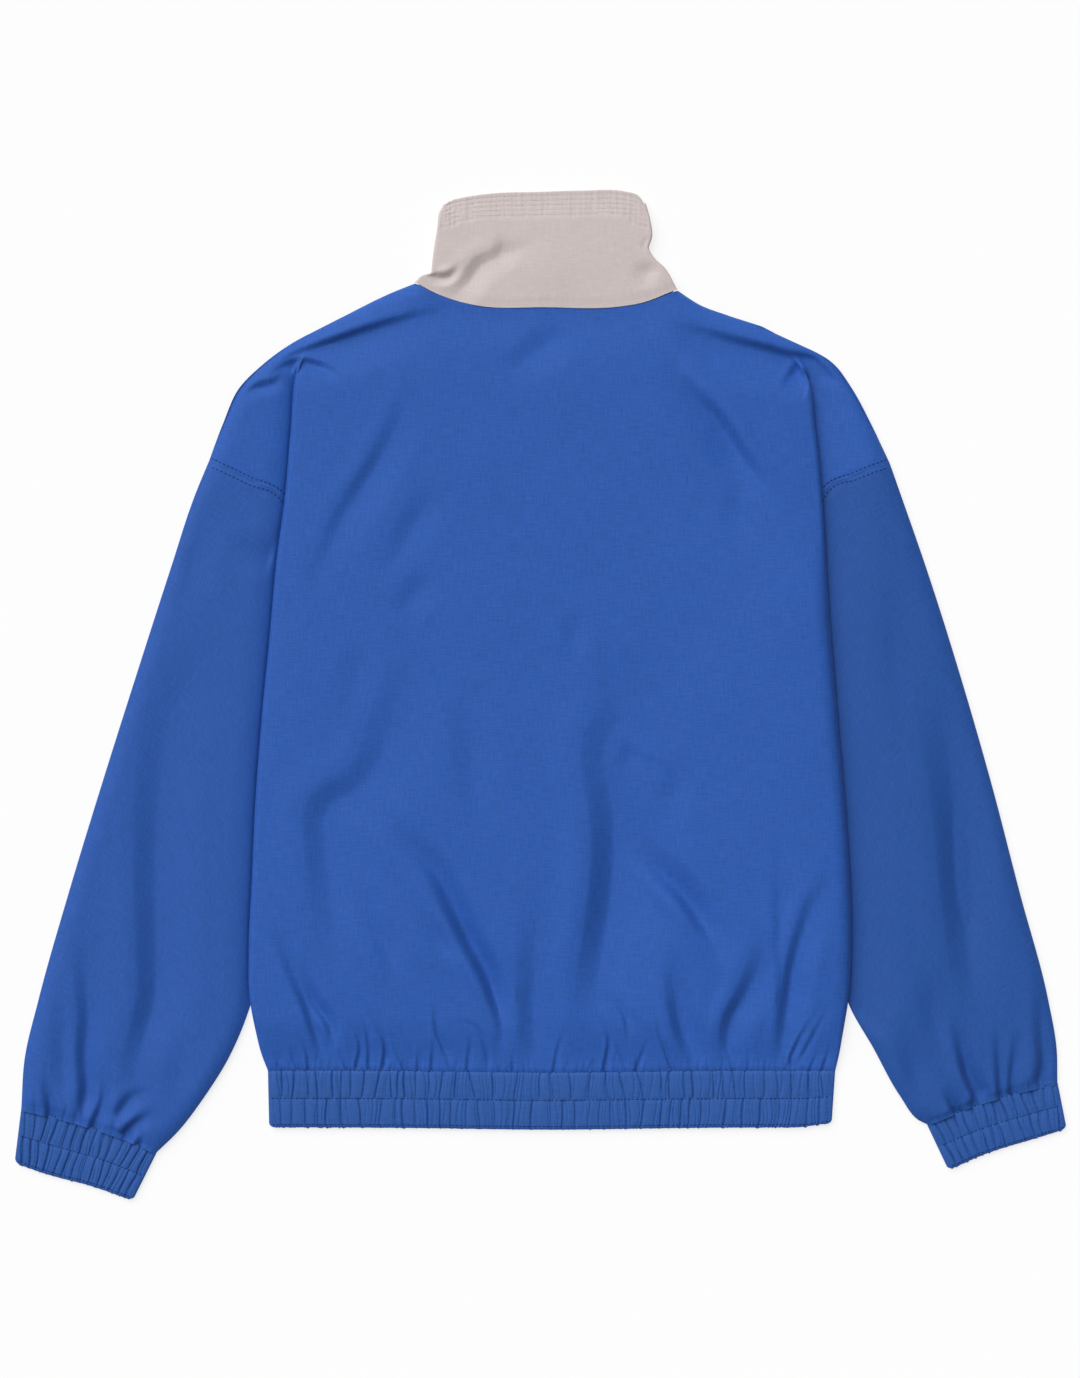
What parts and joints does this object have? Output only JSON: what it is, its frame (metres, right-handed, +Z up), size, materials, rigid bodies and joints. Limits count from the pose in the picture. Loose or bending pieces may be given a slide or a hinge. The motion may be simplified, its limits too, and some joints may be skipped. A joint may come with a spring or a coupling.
{
  "type": "track jacket",
  "caption": "Track jacket laid flat on its front, back upward: dropped shoulders, stand collar, shirred cuffs and hem band, closed front zip underneath.",
  "frame": {"origin": "on the surface that the jacket lies on, under the middle of its outline", "axes": "+X towards the wearer's right sleeve, +Y from the hem to the collar, +Z up through the layers"},
  "size_m": [0.8616, 0.8269, 0.0075],
  "materials": {
    "body_cloth": "matt blue plain-weave synthetic",
    "sleeve_cloth": "matt blue plain-weave synthetic",
    "band_cloth": "matt blue plain-weave synthetic, shirred on elastic",
    "collar_cloth": "matt warm grey plain-weave synthetic",
    "zip_cloth": "matt woven tape with a plastic coil",
    "zip_plastic": "moulded, satin",
    "zip_metal": "dark plated metal, satin"
  },
  "bodies": {
    "jacket": {"back": "body_cloth", "front_left": "body_cloth", "front_right": "body_cloth", "sleeve_left": "sleeve_cloth", "sleeve_right": "sleeve_cloth", "cuff_left": "band_cloth", "cuff_right": "band_cloth", "hem_band": "band_cloth", "collar": "collar_cloth", "zip_tape_left": "zip_cloth", "zip_tape_right": "zip_cloth", "zip_box": "zip_plastic", "zip_slider": "zip_metal"},
    "pull_tab": {"zip_pull": "zip_metal"}
  },
  "joints": [
    {"name": "pull_swing", "type": "hinge", "parent": "jacket", "child": "pull_tab", "pos_m": [0.007, 0.35, 0.0013], "axis": [1, 0, 0], "range_deg": [0, 165]}
  ]
}
